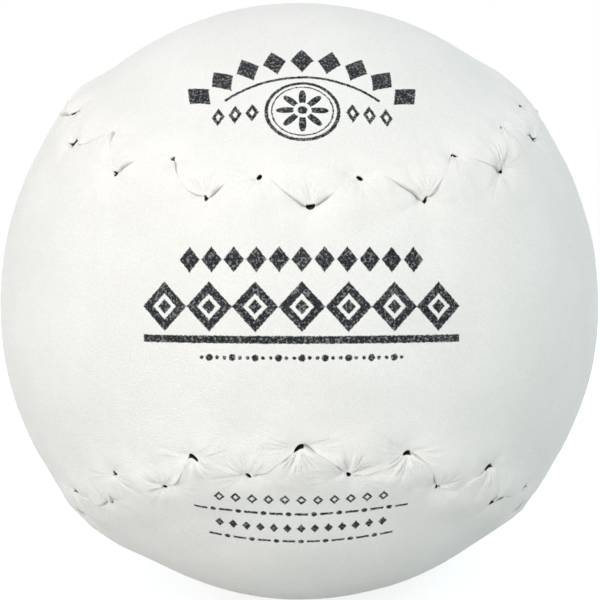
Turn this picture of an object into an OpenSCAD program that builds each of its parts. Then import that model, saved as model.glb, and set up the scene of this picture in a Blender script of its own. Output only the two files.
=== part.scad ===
// Softball with a concealed-stitch leather cover
// The ball is centred on the origin. The waist of the front panel faces -Y, and +Z is up.

/* [Ball] */
// Circumference over the leather, as a tape measures it
ball_circumference = 406.4; // [390:0.1:425]
// Width of each cover panel at its waist, from seam to seam
waist_width = 42.9; // [36:0.1:50]

/* [Cover leather] */
// Thickness of the leather
leather_thickness = 1.3; // [1.2:0.05:1.6]
// Width of the hem turned in along each panel's edge
hem_width = 9; // [7:0.25:11]
// Height of the seam ridge above the ball's surface
ridge_height = 1.3; // [1:0.05:1.8]
// Radius of the fold along each hem
fold_radius = 0.8; // [0.5:0.05:1]
// Gap between the two folds where the panels meet
seam_gap = 0.12; // [0.06:0.02:0.3]
// Gap between the leather and the coat under it
cover_clearance = 0.3; // [0.25:0.05:0.5]

/* [Stitching] */
// Length of one stitch along the seam, from hole to hole, before it is fitted to whole stitches
stitch_length = 8.7; // [6:0.1:12]
// Swing of the zigzag seam to each side of its middle line
zigzag_swing = 2.55; // [1.8:0.05:3]
// Diameter of each stitch hole
hole_diameter = 1.3; // [0.8:0.05:1.8]
// Diameter of the seam thread
thread_diameter = 0.8; // [0.5:0.05:0.8]
// Gap between the thread and the coat under it
thread_clearance = 0.1; // [0.05:0.05:0.2]

/* [Inside] */
// Thickness of the latex coat over the windings
latex_thickness = 0.5; // [0.3:0.05:0.8]
// Thickness of the elastic winding under the coat
elastic_thickness = 5; // [3:0.5:8]
// Thickness of the yarn winding round the kapok core
yarn_thickness = 9.5; // [4:0.5:20]
// Gap between one inner layer and the next
layer_clearance = 0.05; // [0.02:0.01:0.1]

/* [Hidden] */

leather_colour = "#f6f5f0";
thread_colour = "#b59a6c";
latex_colour = "#e4dcc0";
elastic_colour = "#b9b3a6";
yarn_colour = "#d9d0bb";
kapok_colour = "#cdb88a";

// Radii of the layers, from the outside in
ball_r = ball_circumference / (2 * PI);
inner_r = ball_r - leather_thickness;
latex_r = inner_r - cover_clearance;
elastic_r = latex_r - latex_thickness - layer_clearance;
yarn_r = elastic_r - elastic_thickness - layer_clearance;
core_r = yarn_r - yarn_thickness - layer_clearance;
sphere_sides = 96;

// The seam's middle line is a closed curve on the ball, given by an angle t of 0 to 360.
// It is nearest the front point at t = 45 (above it) and t = 225 (below it).
waist_angle = 180 * waist_width / ball_circumference;
first_share = (1 + sin(waist_angle)) / 2;
third_share = (1 - sin(waist_angle)) / 2;
quarter = 90;
quarter_steps = 90;

function unit(v) = v / norm(v);

// A point of the unit ball, turned so that the seam stands as in the description above
function turned(u, v, f) = [(u - v) / sqrt(2), -f, (u + v) / sqrt(2)];

function seam_point(t) = turned(
    first_share * cos(t) + third_share * cos(3 * t),
    first_share * sin(t) - third_share * sin(3 * t),
    cos(waist_angle) * sin(2 * t)
);

function seam_direction(t) = unit(turned(
    -first_share * sin(t) - 3 * third_share * sin(3 * t),
    first_share * cos(t) - 3 * third_share * cos(3 * t),
    2 * cos(waist_angle) * cos(2 * t)
));

// The direction across the seam, into the front panel
function seam_side(t) = cross(seam_point(t), seam_direction(t));

// Length along a quarter of the seam, on the unit ball, against the angle t
length_table = [
    for (
        i = 0, along = 0;
        i <= quarter_steps;
        along = along + norm(seam_point((i + 1) * quarter / quarter_steps)
                             - seam_point(i * quarter / quarter_steps)),
        i = i + 1
    )
    [along, i * quarter / quarter_steps]
];
quarter_length = length_table[quarter_steps][0];

// Every quarter of the seam is alike, and the zigzag meets itself, when a quarter holds an
// odd number of stitches. It takes the nearest one.
quarter_mm = quarter_length * ball_r;
quarter_holes = 2 * round((quarter_mm / stitch_length - 1) / 2) + 1;
hole_count = 4 * quarter_holes;
hole_pitch = quarter_mm / quarter_holes;

// Places along the seam are counted in stitches x, so that a hole lies halfway through each
hole_place_share = 0.5;

function seam_angle(x) =
    let (turns = floor(x / quarter_holes))
    let (rest_share = x / quarter_holes - turns)
    turns * quarter + lookup(rest_share * quarter_length, length_table);

// The zigzag's offset from the middle line, positive into the front panel.
// Its tips are a little more pointed than a sine's.
tip_share = 0.06;

function zigzag(x) =
    zigzag_swing * (sin(180 * x) - tip_share * sin(540 * x)) / (1 + tip_share);

// How far a stitch hole pushes a panel's edge back at x
hole_r = hole_diameter / 2;

function hole_setback(x) =
    let (from_hole = abs(x - hole_place_share - round(x - hole_place_share)) * hole_pitch)
    from_hole < hole_r ? sqrt(hole_r * hole_r - from_hole * from_hole) : 0;

// Radius of the outer surface at a distance across the seam
function surface_r(lateral) =
    let (reach_share = min(1, abs(lateral) / hem_width))
    ball_r + ridge_height * pow(cos(quarter * reach_share), 2);

function on_ball(x, lateral, radius) =
    let (t = seam_angle(x))
    let (turn = 180 / PI * lateral / ball_r)
    radius * (seam_point(t) * cos(turn) + seam_side(t) * sin(turn));

// Samples along a panel's edge. The fine ones follow the zigzag and its holes, and every
// third of them, at a hole or halfway between two, is a coarse one that carries the rest.
hole_sample_share = 0.8;
hole_side_share = hole_sample_share * hole_r / hole_pitch;
sample_shares = [0, hole_side_share, 0.2, 0.5, 0.8, 1 - hole_side_share];
samples_per_hole = len(sample_shares);
fine_per_coarse = 3;
fine_count = samples_per_hole * hole_count;
coarse_count = fine_count / fine_per_coarse;

// The panel's right-hand end lies at this x, and its left-hand end half a seam further
end_x = -quarter_holes / 2;

function fine_x(i) = end_x + floor(i / samples_per_hole) + sample_shares[i % samples_per_hole];

// The edge's height is doubled leather, and it stands on a channel that holds the thread
channel_height_share = 0.55;
channel_width_share = 1.25;
channel_half = channel_width_share * thread_diameter;
edge_height = surface_r(zigzag_swing) - inner_r;
channel_top_r = inner_r + channel_height_share * edge_height;
fold_r = min(fold_radius, (1 - channel_height_share) * edge_height);

// Points of the edge at x: at the foot of the channel, its top, round the fold and on the ridge
function edge_lateral(x) = zigzag(x) + seam_gap / 2 + hole_setback(x);
function foot_point(x) = on_ball(x, edge_lateral(x) + channel_half, inner_r);
function channel_point(x) = on_ball(x, edge_lateral(x), channel_top_r);

function fold_point(x, angle) =
    let (lateral = edge_lateral(x) + fold_r * (1 - cos(angle)))
    on_ball(x, lateral, surface_r(lateral) - fold_r * (1 - sin(angle)));

// Points of the hem's middle and of its far side, where the ridge has faded out
hem_middle_share = 0.55;
zigzag_left_share = 0.5;

function hem_middle_lateral(x) = zigzag_left_share * zigzag(x) + hem_middle_share * hem_width;
function hem_middle_point(x) =
    on_ball(x, hem_middle_lateral(x), surface_r(hem_middle_lateral(x)));
function hem_inside_point(x) = on_ball(x, hem_middle_lateral(x), inner_r);
function hem_end_point(x) = on_ball(x, hem_width, ball_r);

// Rows cross the panel from one long edge to the other, as arcs over its middle line
row_steps = 10;

function row_point(start, step) =
    let (radius = norm(start))
    let (height = asin(start[2] / radius) * (1 - 2 * step / row_steps))
    let (side = atan2(start[1], start[0]))
    radius * [cos(height) * cos(side), cos(height) * sin(side), sin(height)];

fine_xs = [for (i = [0:fine_count - 1]) fine_x(i)];
coarse_xs = [for (i = [0:coarse_count - 1]) fine_x(fine_per_coarse * i)];
last_row = coarse_count / 2 - 1;
inside_steps = row_steps - 1;

function rows(ring) = [
    for (j = [1:last_row])
        for (k = [1:inside_steps])
            row_point(ring[j], k)
];

fold_middle_angle = 45;
fold_top_angle = 90;
foot_ring = [for (x = fine_xs) foot_point(x)];
channel_ring = [for (x = fine_xs) channel_point(x)];
fold_ring = [for (x = fine_xs) fold_point(x, fold_middle_angle)];
ridge_ring = [for (x = fine_xs) fold_point(x, fold_top_angle)];
hem_ring = [for (x = coarse_xs) hem_middle_point(x)];
outer_ring = [for (x = coarse_xs) hem_end_point(x)];
inner_ring = [for (x = coarse_xs) hem_inside_point(x)];

// Where each ring's points begin in the panel's list of points
foot_first = 0;
channel_first = foot_first + fine_count;
fold_first = channel_first + fine_count;
ridge_first = fold_first + fine_count;
hem_first = ridge_first + fine_count;
outer_first = hem_first + coarse_count;
inner_first = outer_first + coarse_count;
outer_rows_first = inner_first + coarse_count;
inner_rows_first = outer_rows_first + last_row * inside_steps;

panel_points = concat(
    foot_ring, channel_ring, fold_ring, ridge_ring,
    hem_ring, outer_ring, inner_ring,
    rows(outer_ring), rows(inner_ring)
);

// Two triangles for each step between two rings of count points
function band(low, high, count) = [
    for (i = [0:count - 1])
        let (next = (i + 1) % count)
        each [
            [low + i, high + i, high + next],
            [low + i, high + next, low + next]
        ]
];

// Triangles between a fine ring and the coarse ring beside it
function narrowing_band(fine, coarse) = [
    for (i = [0:coarse_count - 1])
        let (next = coarse + (i + 1) % coarse_count)
        let (f = [for (k = [0:fine_per_coarse]) fine + (fine_per_coarse * i + k) % fine_count])
        each [
            [f[0], coarse + i, f[1]],
            [coarse + i, next, f[1]],
            [f[1], next, f[2]],
            [f[2], next, f[3]]
        ]
];

// Index of point k of row j, where a row's two ends belong to the ring
function row_index(ring, first, j, k) =
    k == 0 ? ring + j
    : k == row_steps ? ring + coarse_count - j
    : first + (j - 1) * inside_steps + k - 1;

function field(ring, first) = concat(
    [
        for (j = [1:last_row - 1])
            for (k = [0:row_steps - 1])
                let (p = row_index(ring, first, j, k))
                let (q = row_index(ring, first, j, k + 1))
                let (r = row_index(ring, first, j + 1, k + 1))
                let (s = row_index(ring, first, j + 1, k))
                each [[p, q, r], [p, r, s]]
    ],
    [
        for (k = [0:row_steps - 1])
            [ring, row_index(ring, first, 1, k + 1), row_index(ring, first, 1, k)]
    ],
    [
        for (k = [0:row_steps - 1])
            [
                ring + last_row + 1,
                row_index(ring, first, last_row, k),
                row_index(ring, first, last_row, k + 1)
            ]
    ]
);

function flipped(faces) = [for (face = faces) [face[0], face[2], face[1]]];

panel_faces = concat(
    band(foot_first, channel_first, fine_count),
    band(channel_first, fold_first, fine_count),
    band(fold_first, ridge_first, fine_count),
    narrowing_band(ridge_first, hem_first),
    band(hem_first, outer_first, coarse_count),
    field(outer_first, outer_rows_first),
    flipped(narrowing_band(foot_first, inner_first)),
    flipped(field(inner_first, inner_rows_first))
);

// The thread follows the zigzag in the channel, round the whole ball
thread_sides = 6;
thread_r = thread_diameter / 2;
thread_path_r = latex_r + thread_clearance + thread_r;
thread_shares = [0, 0.2, 0.5, 0.8];
thread_rings = len(thread_shares) * hole_count;

function thread_x(i) =
    end_x + floor(i / len(thread_shares)) + thread_shares[i % len(thread_shares)];
function thread_middle(x) = on_ball(x, zigzag(x), thread_path_r);

thread_middles = [for (i = [0:thread_rings - 1]) thread_middle(thread_x(i))];
thread_points = [
    for (i = [0:thread_rings - 1])
        let (before = thread_middles[(i + thread_rings - 1) % thread_rings])
        let (after = thread_middles[(i + 1) % thread_rings])
        let (up = unit(thread_middles[i]))
        let (across = unit(cross(after - before, up)))
        for (k = [0:thread_sides - 1])
            let (angle = 360 * k / thread_sides)
            thread_middles[i] + thread_r * (cos(angle) * across + sin(angle) * up)
];
thread_faces = [
    for (i = [0:thread_rings - 1])
        for (k = [0:thread_sides - 1])
            let (here = i * thread_sides)
            let (there = ((i + 1) % thread_rings) * thread_sides)
            let (next = (k + 1) % thread_sides)
            each [
                [here + k, there + next, there + k],
                [here + k, here + next, there + next]
            ]
];

module layer(outside_r, inside_r) {
    difference() {
        sphere(r = outside_r, $fn = sphere_sides);
        sphere(r = inside_r, $fn = sphere_sides);
    }
}

module cover_panel() {
    polyhedron(points = panel_points, faces = panel_faces);
}

module kapok_core() {
    color(kapok_colour) sphere(r = core_r, $fn = sphere_sides);
}

module yarn_winding() {
    color(yarn_colour) layer(yarn_r, yarn_r - yarn_thickness);
}

module elastic_winding() {
    color(elastic_colour) layer(elastic_r, elastic_r - elastic_thickness);
}

module latex_coat() {
    color(latex_colour) layer(latex_r, latex_r - latex_thickness);
}

module front_cover_panel() {
    color(leather_colour) cover_panel();
}

// The back panel is the front one, turned over so that its ends take the top and the bottom
module back_cover_panel() {
    color(leather_colour) rotate(a = 180, v = [1, 0, 1]) cover_panel();
}

module seam_thread() {
    color(thread_colour) polyhedron(points = thread_points, faces = thread_faces);
}

kapok_core();
yarn_winding();
elastic_winding();
latex_coat();
front_cover_panel();
back_cover_panel();
seam_thread();
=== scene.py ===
import math

import bpy
import numpy as np
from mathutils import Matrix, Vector


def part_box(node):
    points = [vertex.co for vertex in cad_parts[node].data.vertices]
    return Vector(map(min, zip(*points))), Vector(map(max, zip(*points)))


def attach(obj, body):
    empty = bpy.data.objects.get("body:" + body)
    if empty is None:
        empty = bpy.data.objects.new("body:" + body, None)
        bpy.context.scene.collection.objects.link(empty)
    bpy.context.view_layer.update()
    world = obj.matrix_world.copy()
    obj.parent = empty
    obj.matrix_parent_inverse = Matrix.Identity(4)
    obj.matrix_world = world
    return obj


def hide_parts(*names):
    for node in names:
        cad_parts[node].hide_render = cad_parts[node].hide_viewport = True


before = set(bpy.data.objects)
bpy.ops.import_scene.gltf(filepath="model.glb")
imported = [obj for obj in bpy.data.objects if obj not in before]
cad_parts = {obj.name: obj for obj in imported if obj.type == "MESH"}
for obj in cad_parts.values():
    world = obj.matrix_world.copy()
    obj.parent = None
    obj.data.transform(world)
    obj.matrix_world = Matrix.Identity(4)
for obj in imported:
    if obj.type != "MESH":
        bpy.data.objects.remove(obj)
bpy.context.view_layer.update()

# Lengths in this script are millimetres, and a mesh is scaled to metres when it is made.
MM = 0.001

# The ball, with the seam's measures as the solids have them
BALL_R = -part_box("front_cover_panel")[0][1] / MM
LEATHER = 1.3
INNER_R = BALL_R - LEATHER
WAIST_WIDTH = 42.9
HEM_WIDTH = 9.0
RIDGE = 1.3
SEAM_GAP = 0.01
HOLES = 84
SWING = 2.45
LATEX_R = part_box("latex_coat")[1][2] / MM

# How the sewn leather departs from the plain solids. PHASE is how far the stitches stand along the seam,
# in stitches.
SEED = 16
PHASE = -0.13
# The chance spread of the holes, along the seam in stitches and across it
HOLE_SHIFT = 0.04
REACH_SPREAD = 0.15
# Half length of the holes, their half height as a share of that, and their slant
HOLE_LENGTH = (0.3, 0.8)
HOLE_SHARE = (0.45, 0.85)
HOLE_SLANT = 0.6
# How far a hole's slant reaches along the seam, beside its middle and for each millimetre of its length
SLANT_REACH = 0.4
SLANT_GAIN = 1.2
# How much of a hole is cut from the panel whose tongue ends there, where 1 is half
HOLE_BITE = (0.5, 0.9)
# How far the seam's line bows between two holes, and how far it leans to one of them
BOW = 0.4
LEAN = 0.4
# How high the tongues stand and how far one panel rises over the other, and where each dies out
TONGUE_LIFT = 0.35
TONGUE_REACH = 3.0
OVERLAP = 0.15
OVERLAP_REACH = 2.2
# The dimple round each hole, as a depth times a share that grows with each millimetre of the hole's length,
# and how the tip of a tongue is drawn in, each with its radius
DIMPLE = 0.5
DIMPLE_SHARE = 0.5
DIMPLE_GAIN = 0.6
DIMPLE_R = 2.2
TIP_DRAW = 0.4
TIP_DRAW_R = 1.1
# How strong the pleats are at the holes cut into the front panel and into the back one, the range of the
# chance share that multiplies it, and over which shares of the way to the next such hole they die out
PLEATING = {1: 0.9, -1: 0.35}
PLEATING_CHANCE = (0.4, 1.2)
PLEATING_END = (0.7, 0.95)
# The distances from its hole between which a crease deepens, and its raised lips as shares of its depth and
# of its width
CREASE_START = (0.35, 1.3)
LIP_SHARE = 0.35
LIP_WIDTH_SHARE = 2.5
# The soft valleys beside the roots of the tongues
ROOT_CHANCE = 0.8
ROOT_START = (0.4, 1.6)
ROOT_DEPTH = 0.24
ROOT_WIDTH = 0.8
ROOT_LENGTH = 4.6
ROOT_SHIFT = 0.3
ROOT_TURN = 0.2
# Unevenness: of the ridge as a share of its height, of the leather by the seam, and of the open leather
RIDGE_RIPPLE_SHARE = 0.12
PUCKER = 0.06
PUCKER_REACH = 6.0
LUMP = 0.12
RIPPLE = 0.03
# How far the leather is drawn in beside the ridge, on the back panel and on the front one, where it
# stands out instead
DIP = {-1: 0.08, 1: -0.25}
DIP_START = (5.0, 10.0)
DIP_END = (12.0, 24.0)
# The ridge's slopes reach farther than the hem
MOUND_WIDTH = 12.0
# Where the rings of points begin to lose the zigzag, and how fast they do
FADE_START = 0.5
FADE_POWER = 0.9
# How far the open leather lies under the nominal ball
FIELD_DROP = 0.14
# Where the ball is a little fuller than round, or flatter: azimuth, rise and spread in degrees, and height
BULGES = (
    (-70.0, -20.0, 17.0, 0.75),
    (69.0, -13.0, 15.5, 0.6),
    (-57.5, -46.5, 5.0, 1.1),
    (64.5, 47.0, 5.0, 0.9),
    (57.5, -44.0, 5.0, 0.4),
    (60.0, -39.0, 4.0, -0.4),
    (63.0, -34.0, 4.0, 0.35),
)
# How much painted shade a crease gets for each millimetre of its depth, and how far from the edge the sewn
# look fades
CREASE_SHADE = 0.3
SEWN = (2.0, 10.0)
# How dark the seam is painted where it is shut, and how much darker where it is open, as shares: painted
# shade, with a little grime
SEAM_DARK_SHARE = 0.08
OPEN_DARK_SHARE = 0.5
# The thread's channel under the folds: half its width, and how far down the leather it begins, as a share
CHANNEL_HALF = 1.0
CHANNEL_SHARE = 0.5

# The stitch holes that face the viewer, by their numbers along the seam: how far each is off its regular
# place, along the seam in stitches and across it in millimetres, its half length and half height in
# millimetres, and how far it slants, as a slope
SEEN_HOLES = {
    3: (0.12, 0.0, 0.7, 0.25, -0.3),
    4: (0.2, 0.0, 0.95, 0.24, -1.0),
    5: (0.15, 0.3, 0.4, 0.35, -0.3),
    6: (0.02, 0.5, 0.65, 0.44, 0.7),
    7: (-0.02, -0.2, 0.6, 0.35, -0.3),
    8: (0.0, 0.8, 0.38, 0.36, 0.7),
    9: (0.12, -0.45, 0.5, 0.42, -0.5),
    10: (0.05, -0.3, 0.75, 0.36, 0.15),
    11: (0.0, -0.25, 0.5, 0.5, 0.15),
    12: (-0.12, -0.1, 0.32, 0.36, -0.5),
    13: (-0.16, 0.25, 0.32, 0.4, -0.6),
    14: (-0.1, 0.6, 0.42, 0.34, 0.1),
    15: (-0.25, 0.0, 0.5, 0.3, 1.5),
    16: (-0.25, 0.2, 0.95, 0.22, 1.3),
    17: (-0.2, -1.3, 0.9, 0.28, 1.2),
    46: (0.16, -0.1, 0.6, 0.3, -0.5),
    47: (0.25, -0.2, 0.45, 0.45, -0.7),
    48: (0.1, -0.1, 0.45, 0.34, -0.2),
    49: (0.2, -0.5, 0.5, 0.35, 0.2),
    50: (0.09, 0.0, 0.85, 0.27, -0.75),
    51: (0.03, -0.4, 0.5, 0.45, -0.6),
    52: (0.01, 0.0, 0.8, 0.32, 0.55),
    53: (-0.05, -0.5, 0.45, 0.4, -0.4),
    54: (-0.03, 0.1, 0.62, 0.3, 0.1),
    55: (0.01, 0.3, 0.45, 0.4, -0.4),
    56: (-0.03, 0.7, 0.65, 0.2, 0.8),
    57: (0.04, -0.4, 1.0, 0.95, 1.4),
    58: (0.12, 0.1, 0.8, 0.3, 0.5),
}
# How strong the pleats are at some of them
SEEN_PLEATS = {
    4: 0.5, 6: 1.0, 8: 0.5, 9: 0.35, 10: 0.55, 11: 0.3, 12: 0.4, 14: 0.35, 16: 0.3,
    46: 0.4, 48: 0.5, 49: 0.8, 50: 0.8, 51: 0.6, 52: 1.3, 53: 1.1, 54: 1.0, 55: 0.5, 56: 0.6, 58: 0.4,
}
# How open the seam is beside each of the seen holes, from 0 to 1, before and after it
SEEN_SEAM = {
    3: (0.5, 0.5), 4: (0.6, 0.6), 5: (0.3, 0.3), 6: (0.8, 1.0), 7: (0.3, 0.4), 8: (0.7, 1.0),
    9: (0.1, 0.15), 10: (1.0, 0.8), 11: (0.1, 0.1), 12: (0.9, 0.3), 13: (0.6, 0.1), 14: (0.9, 0.2),
    15: (0.2, 0.9), 16: (0.7, 0.4), 17: (0.5, 1.0), 46: (0.2, 0.4), 47: (0.8, 0.3), 48: (0.1, 0.3),
    49: (0.6, 0.6), 50: (0.2, 0.3), 51: (0.7, 0.9), 52: (0.3, 0.7), 53: (0.9, 0.8), 54: (0.4, 0.6),
    55: (0.8, 0.6), 56: (0.6, 0.4), 57: (0.9, 0.8), 58: (0.5, 0.4),
}
# How far along it opens beside some of them, in millimetres, before and after each
SEEN_REACHES = {8: (4.8, 6.0), 10: (4.6, 6.4), 15: (3.2, 5.0), 17: (3.0, 4.5)}
# How far the seam's line runs ahead of an even wave, or lags behind it, in the stitches after these holes
SEEN_LEANS = {
    5: 0.0, 6: -0.1, 7: 0.0, 8: 0.85, 9: 0.0, 10: 0.0, 11: -0.85, 12: -0.85, 13: -0.9, 15: 0.9, 17: 0.9,
    46: 0.9, 48: 0.9, 49: -0.7, 50: 0.3, 51: -0.6, 52: -0.6, 53: -0.9, 54: -0.6, 55: -0.85,
}
# How deep the soft valleys are that run from these holes along the roots of the tongues, as shares of
# ROOT_DEPTH, on the side before each hole and on the side after it
SEEN_ROOTS = {
    6: (0.3, 0.3), 8: (0.3, 1.0), 10: (0.1, 0.9), 12: (0.2, 0.3), 14: (0.2, 0.2), 16: (0.1, 0.2),
    45: (0.3, 0.4), 47: (0.5, 1.0), 49: (0.5, 1.0), 51: (0.5, 0.4), 53: (0.4, 0.6), 55: (0.6, 0.4),
    57: (0.3, 0.5),
}
# The front panel's tongues are broad, and the back panel's come to a point
ROUND_TIP = 0.0
SHARP_TIP = 0.12
TIP_SPREAD = 0.03

# The groove between the panels: the folds' radius and first angle where it is shut and where it is open
SHUT_FOLD = (0.2, 80.0)
OPEN_FOLD = (0.9, 32.0)
HOLE_FOLD = 0.22
HOLE_RIM = 0.12
FOLD_FOOT = 0.15
FOLD_SHARES = (0.0, 0.25, 0.5, 0.75, 1.0)
# How open it is, from 0 to 1, where it is shut and beside the unseen holes, how far it opens from a hole,
# where that begins, and from what share of it the groove shuts again
SHUT = 0.1
OPENING = (0.05, 0.8)
OPEN_LENGTH = (2.6, 4.6)
OPEN_START = (0.4, 1.2)
OPEN_SHARE = 0.45

# The mesh: samples along each stitch, which crowd round the holes, rows beside the seam, which crowd at the
# edge, and steps across a panel. Each part has COARSER times fewer samples than the one before it.
PER_STITCH = 48
COARSER = 4
CROWDING = 0.6
CROWDED_DEPTH = 1.5
NEAR_ROWS = 12
NEAR_CROWDING = 0.4
NEAR_DEPTH = 5.0
FAR_ROWS = 8
SEAM_DEPTH = 12.5
FIELD_GAP = 1.2
FIELD_STEPS = 24
INSIDE_STEPS = 16
HEM_SHARES = (0.5, 0.8)

rng = np.random.default_rng(SEED)
SQRT2 = math.sqrt(2)
QUARTER_HOLES = HOLES / 4
END_X = -QUARTER_HOLES / 2


def smooth(low, high, value):
    """0 below low, 1 above high, and smooth between them."""
    part = np.clip((value - low) / (high - low), 0, 1)
    return part * part * (3 - 2 * part)


def bell(value):
    """1 at 0, and smoothly down to 0 on both sides."""
    return np.exp(-(value**2))


def unit(vectors):
    return vectors / np.linalg.norm(vectors, axis=-1, keepdims=True)


def added(name, data):
    """A new object in the scene."""
    thing = bpy.data.objects.new(name, data)
    bpy.context.scene.collection.objects.link(thing)
    return thing


def toward(azimuth, rise):
    """A unit direction. The azimuth is counted from the front towards +X, and both are in degrees."""
    a, e = math.radians(azimuth), math.radians(rise)
    return math.sin(a) * math.cos(e), -math.cos(a) * math.cos(e), math.sin(e)


# The seam's middle line

WAIST_ANGLE = WAIST_WIDTH / 2 / BALL_R
FIRST = (1 + math.sin(WAIST_ANGLE)) / 2
THIRD = (1 - math.sin(WAIST_ANGLE)) / 2


def turned(u, v, f):
    """From the seam line's own axes to the ball's."""
    return np.stack([(u - v) / SQRT2, -f, (u + v) / SQRT2], -1)


def seam_point(t):
    u = FIRST * np.cos(t) + THIRD * np.cos(3 * t)
    v = FIRST * np.sin(t) - THIRD * np.sin(3 * t)
    return turned(u, v, math.cos(WAIST_ANGLE) * np.sin(2 * t))


def seam_direction(t):
    u = -FIRST * np.sin(t) - 3 * THIRD * np.sin(3 * t)
    v = FIRST * np.cos(t) - 3 * THIRD * np.cos(3 * t)
    return unit(turned(u, v, 2 * math.cos(WAIST_ANGLE) * np.cos(2 * t)))


table_angles = np.linspace(0, math.pi / 2, 2001)
table_steps = np.linalg.norm(np.diff(seam_point(table_angles), axis=0), axis=1)
table_lengths = np.concatenate([[0], np.cumsum(table_steps)])
QUARTER_LENGTH = table_lengths[-1]
PITCH = QUARTER_LENGTH * BALL_R / QUARTER_HOLES


def seam_angle(x):
    """The angle t at x, where x counts stitches along the seam."""
    turns = np.floor(x / QUARTER_HOLES)
    rest = x / QUARTER_HOLES - turns
    return turns * math.pi / 2 + np.interp(rest * QUARTER_LENGTH, table_lengths, table_angles)


def directions(x, lateral):
    """Unit directions of places beside the seam. lateral is positive into the front panel."""
    t = seam_angle(x)
    point = seam_point(t)
    side = np.cross(point, seam_direction(t))
    turn = (lateral / BALL_R)[..., None]
    return point * np.cos(turn) + side * np.sin(turn)


# The stitch holes, each a little off its regular place

hole_number = np.arange(HOLES)
hole_sign = np.where(hole_number % 2 == 0, 1.0, -1.0)
hole_x = hole_number + 0.5 + PHASE + rng.uniform(-HOLE_SHIFT, HOLE_SHIFT, HOLES)
hole_reach = rng.uniform(-REACH_SPREAD, REACH_SPREAD, HOLES)
hole_length = rng.uniform(*HOLE_LENGTH, HOLES)
hole_height = hole_length * rng.uniform(*HOLE_SHARE, HOLES)
hole_slant = rng.uniform(-HOLE_SLANT, HOLE_SLANT, HOLES)
open_before = rng.uniform(*OPENING, HOLES)
open_after = rng.uniform(*OPENING, HOLES)
for number, (shift, *shape) in SEEN_HOLES.items():
    hole_x[number] = number + 0.5 + PHASE + shift
    hole_reach[number], hole_length[number], hole_height[number], hole_slant[number] = shape
hole_lateral = hole_sign * (SWING + hole_reach)
for number, openings in SEEN_SEAM.items():
    open_before[number], open_after[number] = openings
open_length = rng.uniform(*OPEN_LENGTH, (2, HOLES))
for number, (reach_before, reach_after) in SEEN_REACHES.items():
    open_length[:, number] = reach_after, reach_before
hole_bite = rng.uniform(*HOLE_BITE, HOLES)
pleating = np.where(hole_sign > 0, PLEATING[1], PLEATING[-1]) * rng.uniform(*PLEATING_CHANCE, HOLES)
for number, strength in SEEN_PLEATS.items():
    pleating[number] = strength
tip_share = np.where(hole_sign > 0, SHARP_TIP, ROUND_TIP) + rng.uniform(-TIP_SPREAD, TIP_SPREAD, HOLES)
bow = rng.uniform(-BOW, BOW, HOLES)
lean = rng.uniform(-LEAN, LEAN, HOLES)
for number, amount in SEEN_LEANS.items():
    lean[number] = amount
    bow[number] = 0.0
overlap = rng.uniform(-OVERLAP, OVERLAP, HOLES)
hole_place = directions(hole_x, hole_lateral)
hole_along = seam_direction(seam_angle(hole_x))
hole_across = np.cross(hole_place, hole_along)


def hole_at(number):
    """Where a hole is along the seam, for numbers past the last one too."""
    return hole_x[number % HOLES] + HOLES * (number // HOLES)


def around(x):
    """The holes before and after x, by their numbers, and x's share of the way from one to the other."""
    x = np.mod(x, HOLES)
    before = np.floor(x - 0.5).astype(int)
    before = np.where(x < hole_at(before), before - 1, before)
    before = np.where(x >= hole_at(before + 1), before + 1, before)
    part = (x - hole_at(before)) / (hole_at(before + 1) - hole_at(before))
    return before % HOLES, (before + 1) % HOLES, part


def nearest_hole(x):
    """The number of the hole nearest to x, and how far x lies past it in millimetres."""
    before, after, part = around(x)
    return np.where(part < 0.5, before, after), np.where(part < 0.5, part, part - 1) * PITCH


def zigzag(x):
    """Where the panels meet, as a distance from the seam's middle line. The line slants at each hole."""
    before, after, part = around(x)
    hole, away = nearest_hole(x)
    reach = SLANT_REACH + SLANT_GAIN * hole_length[hole]
    slant = hole_slant[hole] * away * bell(away / reach)
    part = part + lean[before] * part * (1 - part)
    sharp = tip_share[before] * (1 - part) + tip_share[after] * part
    wave = (np.cos(math.pi * part) + sharp * np.cos(3 * math.pi * part)) / (1 + sharp)
    a, b = hole_lateral[before], hole_lateral[after]
    return (a + b) / 2 + (a - b) / 2 * wave + bow[before] * np.sin(math.pi * part) ** 2 + slant


def hole_setback(x, panel):
    """How far the stitch holes push back the edge of a panel. Most of each hole is cut from the panel that
    the tongue points at. panel is 1 for the front one and -1 for the back one."""
    hole, away = nearest_hole(x)
    bite = np.where(hole_sign[hole] == panel, 2 - hole_bite[hole], hole_bite[hole])
    chord = np.sqrt(np.clip(1 - (away / hole_length[hole]) ** 2, 0, 1))
    return bite * hole_height[hole] * chord


def openness(x):
    """How open the groove between the panels is, from near 0 to 1. It opens beside the holes."""
    before, after, part = around(x)
    total = SHUT
    for strength, length, away in (
        (open_after[before], open_length[0][before], part * PITCH),
        (open_before[after], open_length[1][after], (1 - part) * PITCH),
    ):
        shutting = smooth(OPEN_SHARE * length, length, away)
        total = total + strength * smooth(*OPEN_START, away) * (1 - shutting)
    return np.minimum(total, 1)


# Creases that run out from each hole. Those of the tongue that ends at the hole are sharp and
# fan out along it, and those of the panel beyond are long and shallow and run beside the seam.


def crease_set(count, low, high, both_sides=False, **ranges):
    """Creases at each hole: their angles, between low and high degrees, and what the ranges give, which is
    their depths, their widths at the hole, how fast they widen, and their lengths."""
    angle = rng.uniform(math.radians(low), math.radians(high), (HOLES, count))
    if both_sides:
        angle = angle * rng.choice([-1.0, 1.0], (HOLES, count))
    return {"angle": angle} | {key: rng.uniform(*span, (HOLES, count)) for key, span in ranges.items()}


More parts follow.
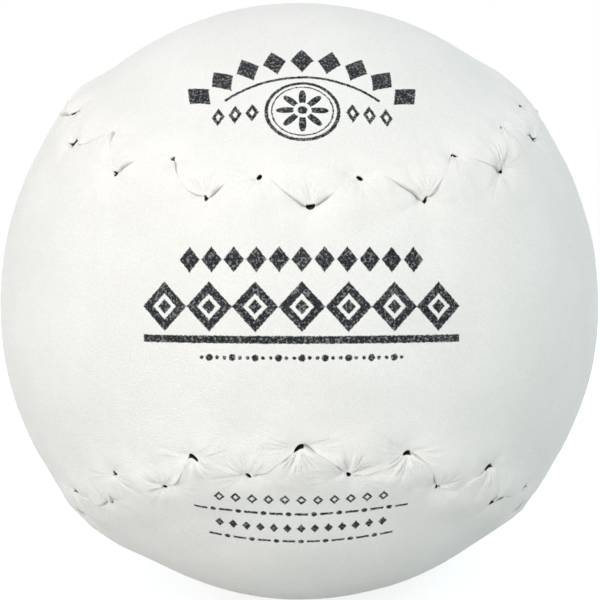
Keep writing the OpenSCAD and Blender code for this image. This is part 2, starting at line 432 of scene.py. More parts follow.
tongue_creases = crease_set(
    count=6, low=-70, high=70,
    depth=(0.15, 0.4), width=(0.2, 0.3), spread=(0.05, 0.1), length=(2.6, 6.0),
)
beyond_creases = crease_set(
    count=4, low=55, high=98, both_sides=True,
    depth=(0.1, 0.26), width=(0.25, 0.4), spread=(0.06, 0.11), length=(4.0, 9.0),
)

root_depth = rng.uniform(0.0, ROOT_CHANCE, (2, HOLES))
root_turn = rng.uniform(-ROOT_TURN, ROOT_TURN, (2, HOLES))
for number, sides in SEEN_ROOTS.items():
    root_depth[:, number] = sides


def root_valley(hole, along, inward):
    """The depth of the soft valleys beside the holes cut into a panel."""
    side = (along > 0).astype(int)
    away = np.abs(along)
    aside = inward - ROOT_SHIFT - root_turn[side, hole] * away
    shown = smooth(*ROOT_START, away) * bell(away / ROOT_LENGTH)
    return ROOT_DEPTH * root_depth[side, hole] * bell(aside / ROOT_WIDTH) * shown


def crease_depth(creases, hole, angle, away):
    """The depth of a set of creases at polar places round the holes."""
    total = np.zeros(away.shape)
    rise = smooth(*CREASE_START, away)
    for k in range(creases["angle"].shape[1]):
        turn = angle - creases["angle"][hole, k]
        aside = away * np.sin(turn)
        ahead = np.cos(turn) > 0
        width = creases["width"][hole, k] + creases["spread"][hole, k] * away
        fade = bell(away / creases["length"][hole, k])
        lips = LIP_SHARE * bell(aside / (LIP_WIDTH_SHARE * width))
        valley = np.exp(-(np.abs(aside / width) ** 1.5)) - lips
        total += np.where(ahead, creases["depth"][hole, k] * valley * fade, 0)
    return total * rise


def waves(count, length, seed):
    """A smooth random field over space, as a function of points in millimetres. It stays near -1 to 1."""
    own = np.random.default_rng(seed)
    way = unit(own.normal(size=(count, 3))) * 2 * math.pi / length
    way *= own.uniform(0.7, 1.4, (count, 1))
    start = own.uniform(0, 2 * math.pi, count)
    return lambda points: np.sin(points @ way.T + start).sum(-1) * math.sqrt(2 / count) / 1.4


# The number of waves, their length in millimetres and the seed of each
lump = waves(14, 42.0, 1)
ripple = waves(18, 9.0, 2)
pucker = waves(22, 3.2, 3)


def beside_hole(places, hole, panel):
    """How far places lie along the seam from a hole, and how far into the panel."""
    offset = (places - hole_place[hole]) * BALL_R
    return (offset * hole_along[hole]).sum(-1), panel * (offset * hole_across[hole]).sum(-1)


def fans(places, x, panel):
    """For the material, each place's position beside the hole at the tip of the nearest tongue, and beside
    the nearest hole cut into the panel, with a weight that is 0 farther along the seam."""
    before, after, part = around(x)
    pairs = []
    for sign in (-panel, panel):
        own = hole_sign[before] == sign
        hole = np.where(own, before, after)
        far = np.where(own, part, 1 - part)
        along, inward = beside_hole(places, hole, panel)
        pairs.append(np.stack([along, inward, pleating[hole] * (1 - smooth(*PLEATING_END, far))], -1))
    return pairs


def surface_height(places, x, lateral, panel):
    """Height of the leather's outer face over the ball's nominal surface, beside the seam, and the depth
    of its creases."""
    creases = np.zeros(len(places))
    away_share = np.minimum(1, np.abs(lateral) / MOUND_WIDTH)
    points = places * BALL_R
    mound = RIDGE * np.cos(math.pi / 2 * away_share) ** 2
    height = mound * (1 + RIDGE_RIPPLE_SHARE * ripple(points))
    line = zigzag(x)
    depth = panel * (lateral - line)
    height += panel * -line / SWING * TONGUE_LIFT * np.exp(-np.maximum(depth, 0) / TONGUE_REACH)
    before, after, part = around(x)
    lap = overlap[before] * np.sin(math.pi * part) ** 2
    height += panel * lap * np.exp(-np.maximum(depth, 0) / OVERLAP_REACH)
    height -= DIP[panel] * dip_share(np.abs(lateral))
    first = np.floor(np.mod(x, HOLES)).astype(int)
    for step in (-1, 0, 1):
        hole = (first + step) % HOLES
        along, inward = beside_hole(places, hole, panel)
        away = np.hypot(along, inward)
        tongue = hole_sign[hole] != panel
        angle = np.arctan2(along, inward)
        dimple = DIMPLE * (DIMPLE_SHARE + DIMPLE_GAIN * hole_length[hole])
        height -= dimple * bell(away / DIMPLE_R)
        height -= np.where(tongue, TIP_DRAW * bell(away / TIP_DRAW_R), 0)
        sharp = crease_depth(tongue_creases, hole, angle, away)
        soft = crease_depth(beyond_creases, hole, angle, away)
        creases += pleating[hole] * np.where(tongue, sharp, soft)
        height -= np.where(tongue, 0, root_valley(hole, along, inward))
    height += PUCKER * bell(np.abs(lateral) / PUCKER_REACH) * pucker(points)
    return height - creases + field_noise(points), np.maximum(creases, 0)


def dip_share(distance):
    """How much of the dip beside the ridge there is at a distance from the seam's middle line."""
    return smooth(*DIP_START, distance) * (1 - smooth(*DIP_END, distance))


def field_noise(points):
    """How far the open leather stands off the ball's nominal surface."""
    height = LUMP * lump(points) + RIPPLE * ripple(points) - FIELD_DROP
    places = unit(points)
    for azimuth, rise, spread, top in BULGES:
        middle = np.array(toward(azimuth, rise))
        away = np.degrees(np.arccos(np.clip(places @ middle, -1, 1)))
        height = height + top * bell(away / spread)
    return height


# The panels

seam_dense = seam_point(np.linspace(0, 2 * math.pi, 1600, endpoint=False))


def seam_distance(places):
    """Distance of unit directions from the seam's middle line."""
    best = np.concatenate([(part @ seam_dense.T).max(1) for part in np.array_split(places, 24)])
    return BALL_R * np.arccos(np.clip(best, -1, 1))


def panel_turn(points, panel):
    """To the front panel's own frame and back. The back panel is the front one turned over."""
    if panel == 1:
        return points
    return np.stack([points[..., 2], -points[..., 1], points[..., 0]], -1)


def arcs(ring, steps, panel):
    """Unit directions of rows across a panel, from each ring point to the one that mirrors it."""
    own = panel_turn(ring, panel)
    half = len(own) // 2
    start = own[1:half]
    height = np.arcsin(np.clip(start[:, 2], -1, 1))[:, None] * (1 - 2 * np.arange(1, steps) / steps)
    side = np.arctan2(start[:, 1], start[:, 0])[:, None]
    flat = np.cos(height)
    rows = np.stack([flat * np.cos(side), flat * np.sin(side), np.sin(height)], -1)
    return panel_turn(rows.reshape(-1, 3), panel)


class Skin:
    """Points, faces and what the material needs of each point, gathered for one mesh. hidden is 0 on the
    open face, up to 0.5 down the seam, and up to 1 down a stitch hole and inside. sewn is 1 at the seam and
    0 in the open leather. tip and notch are the positions that fans() gives."""

    def __init__(self):
        self.points, self.hidden, self.sewn, self.tip, self.notch = [], [], [], [], []
        self.faces, self.count = [], 0

    def add(self, points, hidden=0.0, sewn=0.0, pairs=None):
        first = self.count
        tip, notch = pairs or [np.zeros((len(points), 3))] * 2
        self.points.append(points)
        self.hidden.append(np.full(len(points), hidden))
        self.sewn.append(np.full(len(points), sewn))
        self.tip.append(tip)
        self.notch.append(notch)
        self.count += len(points)
        return first + np.arange(len(points))

    def bands(self, rings):
        """Quads between closed rings of as many points, from each ring to the next."""
        for low, high in zip(rings, rings[1:]):
            self.faces += np.stack([low, np.roll(low, -1), np.roll(high, -1), high], -1).tolist()

    def narrowing(self, fine, coarse):
        """Faces between a fine ring and one with COARSER times fewer points."""
        half = COARSER // 2
        count = len(coarse)
        for i in range(count):
            here, there = coarse[i], coarse[(i + 1) % count]
            edge = [fine[(COARSER * i + k) % len(fine)] for k in range(COARSER + 1)]
            for k in range(half):
                self.faces.append([edge[k], edge[k + 1], here])
            self.faces.append([edge[half], there, here])
            for k in range(half, COARSER):
                self.faces.append([edge[k], edge[k + 1], there])

    def field(self, ring, rows, steps):
        """Faces of the rows across a panel, and of its two ends."""
        half = len(ring) // 2
        inside = rows.reshape(half - 1, steps - 1)
        ends = ring[half + 1 :][::-1]
        grid = np.concatenate([ring[1:half, None], inside, ends[:, None]], 1)
        quads = np.stack([grid[:-1, :-1], grid[1:, :-1], grid[1:, 1:], grid[:-1, 1:]], -1)
        self.faces += quads.reshape(-1, 4).tolist()
        self.faces += [[ring[0], a, b] for a, b in zip(grid[0, :-1], grid[0, 1:])]
        self.faces += [[ring[half], b, a] for a, b in zip(grid[-1, :-1], grid[-1, 1:])]

    def flipped(self, since):
        self.faces[since:] = [face[::-1] for face in self.faces[since:]]

    def mesh(self, name):
        data = bpy.data.meshes.new(name)
        points = np.concatenate(self.points) * MM
        data.from_pydata(points.tolist(), [], [[int(i) for i in face] for face in self.faces])
        data.validate()
        for key, kind, field, values in (
            ("hidden", "FLOAT", "value", self.hidden),
            ("sewn", "FLOAT", "value", self.sewn),
            ("tip", "FLOAT_VECTOR", "vector", self.tip),
            ("notch", "FLOAT_VECTOR", "vector", self.notch),
        ):
            stored = data.attributes.new(key, kind, "POINT")
            stored.data.foreach_set(field, np.concatenate(values).ravel())
        data.shade_smooth()
        return added(name, data)


class Edge:
    """The edge of a panel at one spacing of samples, and the rings of points beside it. panel is 1 for the
    front one and -1 for the back one."""

    def __init__(self, skin, panel, every):
        count = HOLES * PER_STITCH // every
        self.skin, self.panel = skin, panel
        self.even = panel * (END_X + np.arange(count) * every / PER_STITCH)
        x = self.crowded(0.0)
        self.in_hole = smooth(0.0, HOLE_RIM, hole_setback(x, panel))
        self.open = openness(x)
        fold, start = [shut + (wide - shut) * self.open for shut, wide in zip(SHUT_FOLD, OPEN_FOLD)]
        self.fold = fold + (HOLE_FOLD - fold) * self.in_hole
        self.start = np.radians(start * (1 - self.in_hole))

    def crowded(self, depth):
        """The samples' places along the seam. Near the edge they crowd round the holes."""
        share = CROWDING * (1 - smooth(CROWDED_DEPTH, NEAR_DEPTH, depth))
        return self.even - share * np.sin(2 * math.pi * (self.even - 0.5 - PHASE)) / (2 * math.pi)

    def ring(self, depth, drop=0.0, low=0.0, down=0.0):
        """Points at a depth from the panel's edge. low, from 0 to 1, is how far down the edge they lie, and
        down how hidden the fold makes them. The rings lose the zigzag as they leave the seam."""
        x = self.crowded(depth)
        fade = 1 - smooth(FADE_START, SEAM_DEPTH, depth) ** FADE_POWER
        lateral = fade * zigzag(x)
        lateral = lateral + self.panel * (SEAM_GAP / 2 + hole_setback(x, self.panel) * fade + depth)
        places = directions(x, lateral)
        height, creases = surface_height(places, x, lateral, self.panel)
        radius = BALL_R + height - drop
        radius = radius - low * (radius - INNER_R)
        # hidden darkens the colour down the seam, in the holes and inside, as painted shade with a little
        # grime, and in the creases as painted shade
        seam = SEAM_DARK_SHARE + OPEN_DARK_SHARE * self.open
        hidden = down * (seam + (1 - seam) * self.in_hole) + CREASE_SHADE * creases * (1 - down)
        sewn = 1 - smooth(*SEWN, depth)
        return self.skin.add(places * radius[:, None], hidden, sewn, fans(places, x, self.panel))

    def under(self, depth):
        """Points on the inner face, where the zigzag is gone."""
        lateral = np.full(len(self.even), self.panel * depth)
        return directions(self.even, lateral)


def cover_panel(name, panel):
    """One leather panel with its turned-in hem, as a closed mesh."""
    skin = Skin()
    edge = Edge(skin, panel, 1)
    start = edge.start
    lowest = edge.fold * (1 - np.sin(start))
    foot = edge.ring(CHANNEL_HALF, drop=lowest, low=1.0, down=1.0)
    rings = [foot]
    for low in (CHANNEL_SHARE, FOLD_FOOT):
        rings.append(edge.ring(0.0, drop=lowest, low=low, down=1.0))
    for share in FOLD_SHARES:
        angle = start + share * (math.pi / 2 - start)
        inward = edge.fold * (np.cos(start) - np.cos(angle))
        rings.append(edge.ring(inward, drop=edge.fold * (1 - np.sin(angle)), down=(1 - share) ** 1.5))
    first = edge.fold * np.cos(start)
    for share in np.arange(1, NEAR_ROWS + 1) / NEAR_ROWS:
        share = (1 - NEAR_CROWDING) * share + NEAR_CROWDING * share**2
        rings.append(edge.ring(first + (NEAR_DEPTH - first) * share))
    skin.bands(rings)

    middle = Edge(skin, panel, COARSER)
    far_depths = NEAR_DEPTH + (SEAM_DEPTH - NEAR_DEPTH) * np.arange(1, FAR_ROWS + 1) / FAR_ROWS
    far = [middle.ring(depth) for depth in far_depths]
    skin.narrowing(rings[-1], far[0])
    skin.bands(far)

    def field_radius(places):
        dip = DIP[panel] * dip_share(seam_distance(places))
        return BALL_R - dip + field_noise(places * BALL_R)

    coarse = Edge(skin, panel, COARSER**2)
    start_places = coarse.under(SEAM_DEPTH + FIELD_GAP)
    row_places = arcs(start_places, FIELD_STEPS, panel)
    outer = skin.add(start_places * field_radius(start_places)[:, None])
    skin.narrowing(far[-1], outer)
    rows = skin.add(row_places * field_radius(row_places)[:, None])
    skin.field(outer, rows, FIELD_STEPS)

    since = len(skin.faces)
    hem = skin.add(middle.under(HEM_SHARES[0] * HEM_WIDTH) * INNER_R, 1.0)
    skin.narrowing(foot, hem)
    inner_places = coarse.under(HEM_SHARES[1] * HEM_WIDTH)
    inner = skin.add(inner_places * INNER_R, 1.0)
    skin.narrowing(hem, inner)
    inner_rows = skin.add(arcs(inner_places, INSIDE_STEPS, panel) * INNER_R, 1.0)
    skin.field(inner, inner_rows, INSIDE_STEPS)
    skin.flipped(since)
    if panel == -1:
        skin.flipped(0)
    return skin.mesh(name)


# The thread, two plies twisted together, in the channel under the folds. It rises a little in each hole.

THREAD_R = 0.4
THREAD_SIDES = 12
THREAD_GAP = 0.1
THREAD_LIFT = 0.2
THREAD_LIFT_LENGTH = 1.3
PLY_TURNS = 4
PLY_SHARE = 0.22
hole_lift = THREAD_LIFT * rng.uniform(0.0, 1.0, HOLES) ** 2


def seam_thread():
    x = END_X + np.arange(HOLES * PER_STITCH) / PER_STITCH
    hole, away = nearest_hole(x)
    radius = LATEX_R + THREAD_GAP + THREAD_R + hole_lift[hole] * bell(away / THREAD_LIFT_LENGTH)
    middle = directions(x, zigzag(x)) * radius[:, None]
    up = unit(middle)
    across = unit(np.cross(np.roll(middle, -1, 0) - np.roll(middle, 1, 0), up))
    skin = Skin()
    rings = []
    for k in range(THREAD_SIDES):
        angle = 2 * math.pi * k / THREAD_SIDES
        ply = 2 * math.pi * PLY_TURNS * x - angle
        reach = THREAD_R * (1 - PLY_SHARE + PLY_SHARE * np.cos(2 * ply))[:, None]
        ring = middle + reach * (math.cos(angle) * across + math.sin(angle) * up)
        rings.append(skin.add(ring))
    skin.bands(rings + rings[:1])
    skin.flipped(0)
    return skin.mesh("waxed_seam_thread")


front = cover_panel("front_leather_panel", 1)
back = cover_panel("back_leather_panel", -1)
thread = seam_thread()
for piece, node, slot in (
    (front, "front_cover_panel", "leather"),
    (back, "back_cover_panel", "leather"),
    (thread, "seam_thread", "thread"),
):
    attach(piece, "root")
    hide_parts(node)


# Materials


WHITE = (1, 1, 1, 1)


class Nodes:
    """A short way to write the nodes of a material or of the world."""

    def __init__(self, owner):
        owner.use_nodes = True
        self.owner = owner
        self.tree = owner.node_tree

    def new(self, kind, **inputs):
        return self.fill(self.tree.nodes.new(kind), inputs)

    def fill(self, node, inputs):
        for key, value in inputs.items():
            self.put(node.inputs[key.replace("_", " ")], value)
        return node

    def put(self, socket, value):
        if isinstance(value, bpy.types.NodeSocket):
            self.tree.links.new(value, socket)
        else:
            socket.default_value = value

    def operate(self, kind, operation, values):
        node = self.new(kind)
        node.operation = operation
        for socket, value in zip(node.inputs, values):
            self.put(socket, value)
        return node.outputs

    def math(self, operation, *values):
        return self.operate("ShaderNodeMath", operation, values)[0]

    def vector_math(self, operation, *values):
        return self.operate("ShaderNodeVectorMath", operation, values)

    def plus(self, first, second):
        return self.math("ADD", first, second)

    def minus(self, first, second):
        return self.math("SUBTRACT", first, second)

    def times(self, first, second):
        return self.math("MULTIPLY", first, second)

    def length(self, x, y):
        """Distance from the point where x and y are zero."""
        return self.math("SQRT", self.plus(self.times(x, x), self.times(y, y)))

    def between(self, value, low, high, to_low=0.0, to_high=1.0):
        """From to_low at low to to_high at high, smoothly, and even beyond them."""
        ends = dict(From_Min=low, From_Max=high, To_Min=to_low, To_Max=to_high)
        node = self.new("ShaderNodeMapRange", Value=value, **ends)
        node.interpolation_type = "SMOOTHSTEP"
        return node.outputs[0]

    def mix(self, share, first, second):
        node = self.new("ShaderNodeMix")
        node.data_type = "RGBA"
        self.put(node.inputs["Factor"], share)
        self.put(node.inputs[6], first)
        self.put(node.inputs[7], second)
        return node.outputs[2]

    def place(self):
        """The point in millimetres, in the ball's own frame."""
        where = self.new("ShaderNodeTexCoord").outputs["Object"]
        return self.vector_math("MULTIPLY", where, (1 / MM,) * 3)[0]

    def noise(self, place, size, detail=3.0, roughness=0.55):
        node = self.new("ShaderNodeTexNoise", Vector=place, Scale=1 / size, Detail=detail)
        self.put(node.inputs["Roughness"], roughness)
        return node.outputs[0]

    def warped(self, place, size, reach):
        """A place moved about a little, so that cells lose their straight sides."""
        noise = self.new("ShaderNodeTexNoise", Vector=place, Scale=1 / size, Detail=2.0)
        return self.vector_math("MULTIPLY_ADD", noise.outputs[1], (2 * reach,) * 3, place)[0]

    def stored(self, key, output="Fac"):
        """A number that the mesh keeps for each point, or a place."""
        node = self.new("ShaderNodeAttribute")
        node.attribute_name = key
        return node.outputs[output]

    def along(self, place, direction):
        """How far a place lies in a direction."""
        return self.vector_math("DOT_PRODUCT", place, direction)["Value"]

    def bump(self, height, strength, distance, under=None):
        node = self.new("ShaderNodeBump", Height=height, Strength=strength, Distance=distance * MM)
        if under is not None:
            self.put(node.inputs["Normal"], under)
        return node.outputs[0]


class Principled(Nodes):
    """The nodes of a new material, round its own shader."""

    def __init__(self, name):
        super().__init__(bpy.data.materials.new(name))

    def look(self, **inputs):
        """The material, with what its shader takes."""
        self.fill(self.tree.nodes["Principled BSDF"], inputs)
        return self.owner


# The tongues' pleats are short and sharp, and the folds beyond the holes long and soft: the angle of one,
# the distances where they rise and die out, the angles where they do so, in radians, and their slope
SHARP_PLEATS = dict(
    width=0.2, near=(0.5, 1.1), far=(2.4, 4.6), start=(-1.0, -0.5), turn=(0.9, 1.4), depth=0.24
)
SOFT_FOLDS = dict(
    width=0.25, near=(0.8, 2.0), far=(4.0, 8.0), start=(0.8, 1.2), turn=(1.5, 1.9), depth=0.12
)
# How long a pleat keeps its place along the seam
PLEAT_RUN = 7.0


def pleats(n, key, place, width, near, far, start, turn, depth):
    """Pleats that fan out from the stitch holes: their height in millimetres, and how much painted shade
    their valleys get."""
    along, inward, weight = n.new("ShaderNodeSeparateXYZ", Vector=n.stored(key, "Vector")).outputs
    away = n.length(along, inward)
    angle = n.math("ARCTAN2", along, inward)
    spot = n.new(
        "ShaderNodeCombineXYZ",
        X=n.math("DIVIDE", angle, width),
        Y=n.math("DIVIDE", n.along(place, (1, 0, 0)), PLEAT_RUN),
        Z=n.math("DIVIDE", n.along(place, (0, 0.5, 1)), PLEAT_RUN),
    )
    wave = n.minus(n.noise(spot.outputs[0], 1.0, 1.0, 0.5), 0.5)
    shown = n.times(weight, n.between(away, *near))
    shown = n.times(shown, n.between(away, *far, 1.0, 0.0))
    aside = n.math("ABSOLUTE", angle)
    shown = n.times(shown, n.between(aside, *start))
    shown = n.times(shown, n.between(aside, *turn, 1.0, 0.0))
    height = n.times(n.times(wave, depth), n.times(shown, away))
    # The valleys get painted shade
    valley = n.times(n.between(wave, -0.18, 0.02, 1.0, 0.0), shown)
    return height, valley


# The print is a plain ornament in dark ink: rows of diamonds, dashes and dots, a rule, and a rosette under
# an arc of diamonds. Each of its three areas is flat, as a printing pad leaves it.

INK = (0.002, 0.006, 0.011, 1)
# How soft the edges of the marks are, how far they are frayed, and the size of the frays
INK_EDGE = 0.09
INK_RAGGED = 0.3
FRAY = 0.4


class Area:
    """One printed area, with u to the right and v up from its middle, in millimetres."""

    def __init__(self, n, place, azimuth, rise):
        self.n = n
        self.u = n.along(place, toward(azimuth + 90, 0))
        self.v = n.along(place, toward(azimuth, rise + 90))
        self.facing = n.math("GREATER_THAN", n.along(place, toward(azimuth, rise)), 0.0)
        self.ragged = n.times(n.minus(n.noise(place, FRAY, 1.0), 0.5), INK_RAGGED)
        self.ink = None

    def add(self, distance, limit=None):
        """Ink where distance, in millimetres, is below zero, and within a limit from 0 to 1."""
        share = self.n.between(self.n.plus(distance, self.ragged), -INK_EDGE, INK_EDGE, 1.0, 0.0)
        if limit is not None:
            share = self.n.times(share, limit)
        self.ink = share if self.ink is None else self.n.math("MAXIMUM", self.ink, share)

    def above(self, height):
        """How far a place lies above a height."""
        return self.n.minus(self.v, height)

    def off(self, socket, value):
        return self.n.math("ABSOLUTE", self.n.minus(socket, value))

    def within(self, socket, half):
        return self.n.math("LESS_THAN", self.n.math("ABSOLUTE", socket), half)

    def repeated(self, along, pitch, shift=0.0):
        """Distance along a row from the nearest of its marks."""
        return self.n.math("PINGPONG", self.n.plus(along, shift), pitch / 2)

    def diamonds(self, along, across, pitch, count, half, hole=0.0, pip=0.0):
        """A row of diamonds. half is half the width and half the height of each, here and in dashes. hole
        and pip are shares: the size of a gap in each, and of a solid middle."""
        n = self.n
        half_width, half_height = half
        x = n.math("DIVIDE", self.repeated(along, pitch), half_width)
        y = n.math("DIVIDE", n.math("ABSOLUTE", across), half_height)
        size = n.plus(x, y)
        scale = half_width * half_height / math.hypot(half_width, half_height)
        limit = self.within(along, pitch * count / 2)
        if hole:
            ring = n.minus(self.off(size, (1 + hole) / 2), (1 - hole) / 2)
            self.add(n.times(ring, scale), limit)
        solid = pip if hole else 1.0
        if solid:
            self.add(n.times(n.minus(size, solid), scale), limit)

    def dashes(self, along, across, pitch, count, half, shift=0.0):
        n = self.n
        x = n.minus(self.repeated(along, pitch, shift), half[0])
        y = n.minus(n.math("ABSOLUTE", across), half[1])
        self.add(n.math("MAXIMUM", x, y), self.within(along, pitch * count / 2))

    def dots(self, along, across, pitch, count, radius, shift=0.0):
        n = self.n
        distance = n.length(self.repeated(along, pitch, shift), across)
        self.add(n.minus(distance, radius), self.within(along, pitch * count / 2))

    def polar(self, u, v):
        """Distance from a point, and the angle from straight up."""
        n = self.n
        x = n.minus(self.u, u)
        y = n.minus(self.v, v)
        return n.length(x, y), n.math("ARCTAN2", x, y)

    def masked(self):
        return self.n.times(self.ink, self.facing)


def waist_print(n, place):
    """Two rows of diamonds, a rule and a row of beads across the waist of the front panel."""
    area = Area(n, place, azimuth=-0.6, rise=3.3)
    area.diamonds(area.u, area.above(7.3), pitch=3.5, count=11, half=(1.6, 2.0))
    area.diamonds(area.u, area.v, pitch=7.2, count=7, half=(3.6, 3.9), hole=0.52, pip=0.3)
    area.dashes(area.u, area.above(-5.1), pitch=50.4, count=1, half=(25.2, 0.6))
    beads = area.above(-7.9)
    area.dots(area.u, beads, pitch=1.2, count=27, radius=0.3)
    area.dots(area.u, beads, pitch=3.6, count=9, radius=0.55)
    return area.masked()


def top_print(n, place):
    """An arc of diamonds and a thin arc over a rosette in two rings, with three small diamonds on each
    side, on the upper end of the back panel."""
    area = Area(n, place, azimuth=-0.4, rise=39.0)
    arc_r = 27.0
    radius, angle = area.polar(0.0, -22.0)
    along = n.times(angle, arc_r)
    area.diamonds(along, n.minus(radius, arc_r), pitch=4.7, count=9, half=(2.0, 3.3))
    area.dashes(along, n.minus(radius, 22.4), pitch=33.0, count=1, half=(16.5, 0.28))
    radius, angle = area.polar(0.0, -7.0)
    for ring_r, half_width in ((5.9, 0.3), (5.0, 0.12)):
        area.add(n.minus(area.off(radius, ring_r), half_width))
    petals, petal_r, gap_r, dot_r = 8, 4.3, 1.5, 0.8
    petal = n.math("ABSOLUTE", n.math("COSINE", n.times(angle, petals / 2)))
    petal = n.minus(radius, n.times(petal, petal_r))
    area.add(n.math("MAXIMUM", petal, n.minus(gap_r, radius)))
    area.add(n.minus(radius, dot_r))
    side = n.minus(n.math("ABSOLUTE", area.u), 11.0)
    area.diamonds(side, area.above(-7.0), pitch=2.8, count=3, half=(1.1, 1.9), hole=0.4)
    return area.masked()


def lower_print(n, place):
    """Two rows of small diamonds, and two of dashes with dots between them, on the lower end of the back
    panel."""
    area = Area(n, place, azimuth=-0.6, rise=-31.0)
    area.diamonds(area.u, area.above(5.6), pitch=2.7, count=11, half=(0.9, 1.2), hole=0.45)
    area.diamonds(area.u, area.above(-1.4), pitch=2.3, count=13, half=(0.75, 1.1))
    pitch = 4.2
    for height, count, shift in ((2.1, 9, 0.0), (-4.9, 8, pitch / 2)):
        row = area.above(height)
        area.dashes(area.u, row, pitch, count, half=(1.1, 0.28), shift=shift)
        area.dots(area.u, row, pitch, count - 1, radius=0.5, shift=pitch / 2 - shift)
    return area.masked()


# How much lighter and warmer the leather is made right beside the seam
SEWN_SHARE = 0.4


def leather_material():
    n = Principled("white_leather")
    place = n.place()
    hidden = n.stored("hidden")
    # Grain: small flat pebbles between shallow creases, over a softer unevenness
    pebbles = n.new("ShaderNodeTexVoronoi", Vector=n.warped(place, 0.5, 0.18), Scale=1 / 0.55)
    pebbles.feature = "DISTANCE_TO_EDGE"
    flat = n.between(pebbles.outputs["Distance"], 0.0, 0.16)
    fine = n.noise(place, 0.25, 3.0)
    soft = n.noise(place, 3.0, 3.0)
    height = n.plus(flat, n.times(fine, 0.5))
    height = n.plus(height, n.times(soft, 2.4))
    # Colour: white, slightly clouded, and a little darker in the creases of the grain
    cloud = n.between(n.noise(place, 16.0, 4.0), 0.35, 0.7)
    colour = n.mix(cloud, (0.872, 0.868, 0.845, 1), (0.905, 0.902, 0.884, 1))
    colour = n.mix(n.between(flat, 0.0, 1.0, 0.09, 0.0), colour, (0.4, 0.4, 0.38, 1))
    # The stretched leather beside the seam is made a little lighter and warmer
    colour = n.mix(n.times(n.stored("sewn"), SEWN_SHARE), colour, (0.95, 0.93, 0.9, 1))
    # Ink, broken into flecks, and thinner in the creases of the grain and in worn places
    waist = waist_print(n, place)
    ink = n.math("MAXIMUM", waist, n.math("MAXIMUM", top_print(n, place), lower_print(n, place)))
    broken = n.between(n.noise(place, 0.42, 2.0, 0.6), 0.52, 0.64, 1.0, 0.77)
    cover = n.times(n.between(flat, 0.1, 0.7, 0.96, 1.0), broken)
    worn = n.between(n.noise(place, 5.0, 2.0), 0.3, 0.5, 0.98, 1.0)
    ink = n.times(n.times(ink, cover), worn)
    colour = n.mix(ink, colour, INK)
    # Painted shade in the pleats' valleys, and down the seam, in the holes and inside, where it also stands
    # for a little grime and the raw leather
    sharp, sharp_shade = pleats(n, "tip", place, **SHARP_PLEATS)
    soft, soft_shade = pleats(n, "notch", place, **SOFT_FOLDS)
    pleat_shade = n.plus(n.times(sharp_shade, 0.22), n.times(soft_shade, 0.1))
    colour = n.mix(pleat_shade, colour, (0.5, 0.5, 0.48, 1))
    colour = n.mix(n.between(hidden, 0.0, 0.5, 0.0, 0.4), colour, (0.42, 0.43, 0.41, 1))
    colour = n.mix(n.between(hidden, 0.5, 0.85), colour, (0.03, 0.027, 0.024, 1))
    creased = n.bump(n.plus(sharp, soft), 1.0, 1.0)
    return n.look(
        Base_Color=colour,
        Normal=n.bump(height, 0.55, 0.06, creased),
        Roughness=n.between(flat, 0.0, 1.0, 0.62, 0.5),
        Specular_IOR_Level=0.14,
    )


def thread_material():
    n = Principled("waxed_thread")
    # The thread is coloured a darker brown than its own tan, as painted shade where it shows in the holes
    fibre = n.noise(n.place(), 0.35, 3.0)
    return n.look(
        Base_Color=n.mix(fibre, (0.04, 0.033, 0.025, 1), (0.13, 0.105, 0.07, 1)),
        Roughness=n.between(fibre, 0.3, 0.7, 0.45, 0.7),
        Normal=n.bump(fibre, 0.5, 0.05),
    )


def wound_material(name, dark, light, size):
    """Fibres that lie in many directions over a ball."""
    n = Principled(name)
    place = n.place()
    warp = n.noise(place, 14.0, 2.0)
    wave = n.new("ShaderNodeTexWave", Vector=place, Scale=1 / size, Distortion=3.0, Detail=2.0)
    strand = n.times(wave.outputs[1], warp)
    return n.look(
        Base_Color=n.mix(strand, dark, light),
        Normal=n.bump(wave.outputs[1], 0.6, 0.3),
        Roughness=n.between(strand, 0.0, 0.6, 0.95, 0.8),
    )


def latex_material():
    n = Principled("latex_coat")
    cloud = n.noise(n.place(), 4.0, 4.0)
    return n.look(
        Base_Color=n.mix(cloud, (0.16, 0.13, 0.09, 1), (0.28, 0.23, 0.16, 1)),
        Roughness=n.between(cloud, 0.3, 0.7, 0.45, 0.65),
        Normal=n.bump(cloud, 0.4, 0.4),
    )


def dress(thing, material):
    thing.data.materials.clear()
    thing.data.materials.append(material)


white_leather = leather_material()
dress(front, white_leather)
dress(back, white_leather)
dress(thread, thread_material())
dress(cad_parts["latex_coat"], latex_material())
# The wound layers and the core: their dark and light colours, and the size of a strand
for node, name, dark, light, size in (
    ("elastic_winding", "elastic_turns", (0.3, 0.28, 0.24, 1), (0.55, 0.52, 0.46, 1), 1.6),
    ("yarn_winding", "yarn_turns", (0.5, 0.44, 0.33, 1), (0.75, 0.7, 0.6, 1), 2.2),
    ("kapok_core", "kapok_fibre", (0.5, 0.4, 0.22, 1), (0.78, 0.69, 0.48, 1), 5.0),
):
    dress(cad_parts[node], wound_material(name, dark, light, size))


# The camera stands a ball and a half away from the middle, which is VIEW_DISTANCE in radii. BALL_PX is the
# ball's radius in the photograph, and OFF_PX how far its middle is off the photograph's.

FRAME_PX = 600
VIEW_DISTANCE = 3.0
VIEW_AZIMUTH = -1.0
VIEW_RISE = 4.08
BALL_PX = 299
OFF_PX = 1
SENSOR = 36.0

eye = Vector(toward(VIEW_AZIMUTH, VIEW_RISE)) * (VIEW_DISTANCE * BALL_R * MM)
lens_px = BALL_PX * math.sqrt(VIEW_DISTANCE**2 - 1)
camera_data = bpy.data.cameras.new("camera")
camera_data.sensor_width = SENSOR
camera_data.lens = SENSOR * lens_px / FRAME_PX
camera_data.shift_x = OFF_PX / FRAME_PX
camera_data.shift_y = OFF_PX / FRAME_PX
camera_data.clip_start = 0.01
camera = added("camera", camera_data)
camera.location = eye
camera.rotation_euler = (-eye).to_track_quat("-Z", "Y").to_euler()
bpy.context.scene.camera = camera


# Light: a soft key from the left front, a weaker one from the front, faint ones from the right and from
# above, and a pale room that is a little darker at the lower left

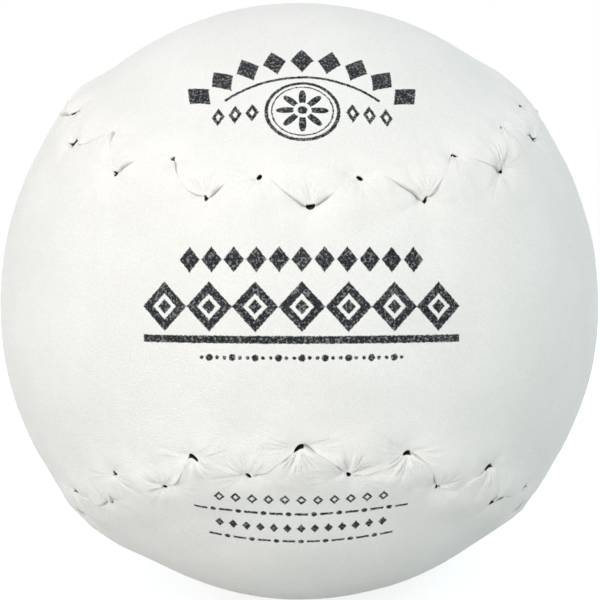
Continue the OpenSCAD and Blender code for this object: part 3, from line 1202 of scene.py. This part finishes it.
LAMP_DISTANCE = 1.0
LAMP_SIZE = 0.4
ROOM_LIGHT = 0.62
ROOM_SLOPE = (0.1, 0.0, 0.07)
ROOM_COLOUR = (0.85, 0.94, 1.0, 1)
# The floor keeps the shadow up to the first distance, and from the second it is as bright as the room.
# These are metres.
SHADOW_NEAR = 0.08
SHADOW_FAR = 0.3
FLOOR_HALF = 3.0
FLOOR_GLOW = 0.72
FLOOR_COLOUR = (0.54, 0.56, 0.56, 1)


def area_light(name, azimuth, rise, power, colour):
    data = bpy.data.lights.new(name, "AREA")
    data.shape = "DISK"
    data.size = LAMP_SIZE
    data.energy = power
    data.color = colour
    lamp = added(name, data)
    lamp.visible_camera = False
    lamp.location = LAMP_DISTANCE * Vector(toward(azimuth, rise))
    lamp.rotation_euler = (-lamp.location).to_track_quat("-Z", "Y").to_euler()


# Each lamp's azimuth and rise in degrees, its power in watts and its colour
area_light("key", -42, 11, 3.64, (1.0, 0.91, 0.82))
area_light("front", 10, 8, 1.98, (1.0, 0.98, 0.92))
area_light("side", 85, 8, 0.65, (0.85, 1.0, 0.75))
area_light("top", -10, 65, 1.0, (1.0, 0.8, 0.76))


def seen_directly(n):
    """1 where the eye or a reflection sees a surface, and 0 where it only lights others."""
    ray = n.new("ShaderNodeLightPath").outputs
    seen = n.math("MAXIMUM", ray["Is Camera Ray"], ray["Is Glossy Ray"])
    return n.math("MAXIMUM", seen, ray["Is Transmission Ray"])


def pale_room():
    world = bpy.data.worlds.new("room")
    bpy.context.scene.world = world
    n = Nodes(world)
    n.tree.nodes.clear()
    where = n.new("ShaderNodeTexCoord").outputs["Generated"]
    level = n.plus(n.along(where, ROOM_SLOPE), ROOM_LIGHT)
    light = n.new("ShaderNodeBackground", Color=ROOM_COLOUR, Strength=level)
    white = n.new("ShaderNodeBackground", Color=WHITE, Strength=1.0)
    both = n.new("ShaderNodeMixShader", Fac=seen_directly(n))
    n.put(both.inputs[1], light.outputs[0])
    n.put(both.inputs[2], white.outputs[0])
    n.new("ShaderNodeOutputWorld", Surface=both.outputs[0])


def pale_floor():
    """A white floor that keeps the ball's soft shadow near it and is as bright as the room farther off."""
    level = -BALL_R * MM
    corners = [(x * FLOOR_HALF, y * FLOOR_HALF, level) for x, y in ((-1, -1), (1, -1), (1, 1), (-1, 1))]
    data = bpy.data.meshes.new("floor")
    data.from_pydata(corners, [], [(0, 1, 2, 3)])
    floor = added("floor", data)
    n = Nodes(bpy.data.materials.new("pale_floor"))
    n.tree.nodes.clear()
    where = n.new("ShaderNodeTexCoord").outputs["Object"]
    away = n.vector_math("LENGTH", where)["Value"]
    glow = n.times(n.between(away, SHADOW_NEAR, SHADOW_FAR, FLOOR_GLOW, 1.0), seen_directly(n))
    lit = n.new("ShaderNodeBsdfDiffuse", Color=FLOOR_COLOUR)
    shine = n.new("ShaderNodeEmission", Color=WHITE, Strength=glow)
    both = n.new("ShaderNodeAddShader")
    n.put(both.inputs[0], lit.outputs[0])
    n.put(both.inputs[1], shine.outputs[0])
    n.new("ShaderNodeOutputMaterial", Surface=both.outputs[0])
    data.materials.append(n.owner)


pale_room()
pale_floor()
bpy.context.scene.view_settings.view_transform = "Standard"
